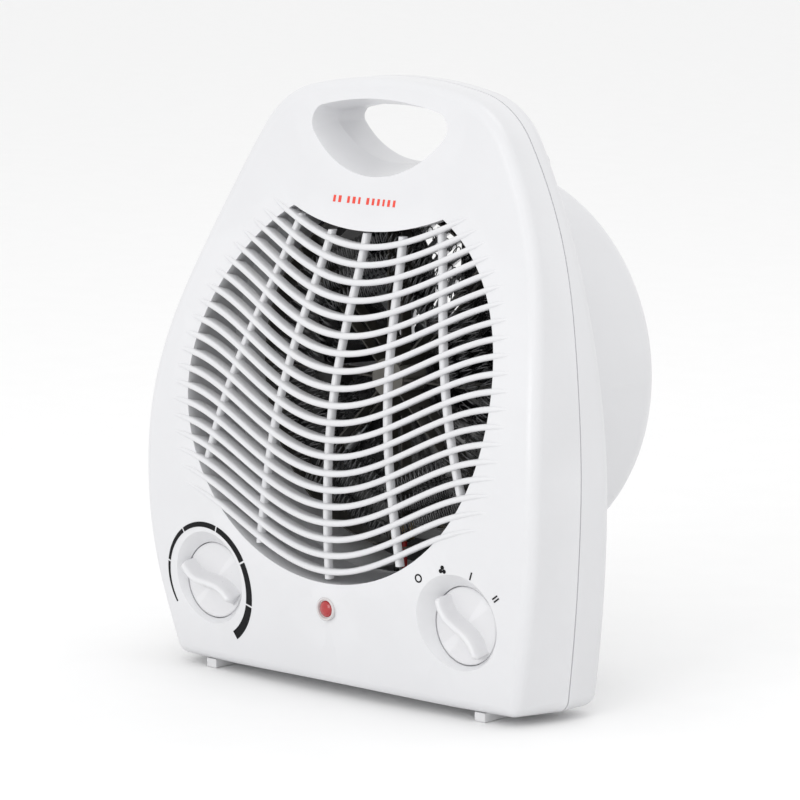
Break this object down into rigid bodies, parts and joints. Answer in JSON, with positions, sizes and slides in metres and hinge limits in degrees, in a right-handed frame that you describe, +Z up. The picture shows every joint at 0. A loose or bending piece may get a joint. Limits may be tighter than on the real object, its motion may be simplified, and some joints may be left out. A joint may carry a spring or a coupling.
{
  "type": "fan convector heater",
  "caption": "Small white electric fan heater with an arched case, wavy air-outlet slats, a carry hole, two turning dials and a pilot light.",
  "frame": {"origin": "middle of the bounding box's footprint, at the floor under the feet", "axes": "+Z up, the front with the outlet grille faces -Y, +X to the right of someone facing the front"},
  "size_m": [0.209, 0.1136, 0.2434],
  "materials": {
    "shell_white": "satin",
    "grille_white": "satin",
    "knob_white": "satin",
    "rim_white": "gloss",
    "tunnel_white": "matt",
    "bobbin_white": "matt",
    "block_cream": "matt",
    "grey_rubber": "matt",
    "foot_rubber": "matt",
    "duct_black": "satin",
    "fan_black": "gloss",
    "cutout_black": "matt",
    "switch_black": "matt",
    "spindle_black": "matt",
    "mica": "satin",
    "ceramic_white": "matt",
    "heating_wire": "oxidised",
    "zinc_steel": "zinc plated",
    "screw_steel": "zinc plated",
    "spring_steel": "oiled",
    "shaft_steel": "ground",
    "core_steel": "laminated",
    "rotor_aluminium": "cast",
    "bearing_bronze": "sintered",
    "terminal_brass": "stamped",
    "winding_tape": "satin",
    "lens_red": "gloss",
    "lamp_glass": "clear",
    "lead_brown": "satin",
    "lead_blue": "satin",
    "lead_black": "satin",
    "lead_red": "satin"
  },
  "bodies": {
    "case": {"front_housing": "shell_white", "rear_housing": "shell_white", "outlet_grille": "grille_white", "intake_grille": "shell_white", "cord_inlet_bush": "grey_rubber", "feet": "foot_rubber", "case_screws": "screw_steel", "duct_screws": "screw_steel", "air_tunnel": "tunnel_white", "fan_shroud": "duct_black", "mica_cards": "mica", "mica_band": "mica", "band_brackets": "zinc_steel", "element_hub": "ceramic_white", "low_heat_wire": "heating_wire", "high_heat_wire": "heating_wire", "thermal_cutout": "cutout_black", "thermal_fuse": "zinc_steel", "element_terminals": "terminal_brass", "motor_core": "core_steel", "motor_bobbin": "bobbin_white", "motor_winding": "winding_tape", "front_bracket": "zinc_steel", "back_bracket": "zinc_steel", "motor_bearings": "bearing_bronze", "motor_bolts": "screw_steel", "rotary_switch": "switch_black", "thermostat_body": "ceramic_white", "thermostat_bimetal": "terminal_brass", "indicator_lens": "lens_red", "lens_rim": "rim_white", "neon_lamp": "lamp_glass", "lamp_holder": "switch_black", "terminal_block": "block_cream", "terminal_screws": "screw_steel", "supply_lead": "lead_brown", "neutral_lead": "lead_blue", "low_heat_lead": "lead_black", "high_heat_lead": "lead_red"},
    "fan_rotor": {"fan": "fan_black", "fan_clip": "spring_steel", "motor_shaft": "shaft_steel", "rotor": "rotor_aluminium"},
    "thermostat_dial": {"thermostat_knob": "knob_white", "thermostat_spindle": "zinc_steel"},
    "selector_dial": {"selector_knob": "knob_white", "selector_spindle": "spindle_black"}
  },
  "joints": [
    {"name": "fan_spin", "type": "hinge", "parent": "case", "child": "fan_rotor", "pos_m": [0, 0.0114, 0.124], "axis": [0, 1, 0], "continuous": true},
    {"name": "thermostat_turn", "type": "hinge", "parent": "case", "child": "thermostat_dial", "pos_m": [-0.0675, -0.0456, 0.0376], "axis": [0, 1, 0], "range_deg": [-54, 219]},
    {"name": "selector_turn", "type": "hinge", "parent": "case", "child": "selector_dial", "pos_m": [0.0675, -0.0456, 0.0376], "axis": [0, 1, 0], "range_deg": [0, 104]}
  ]
}
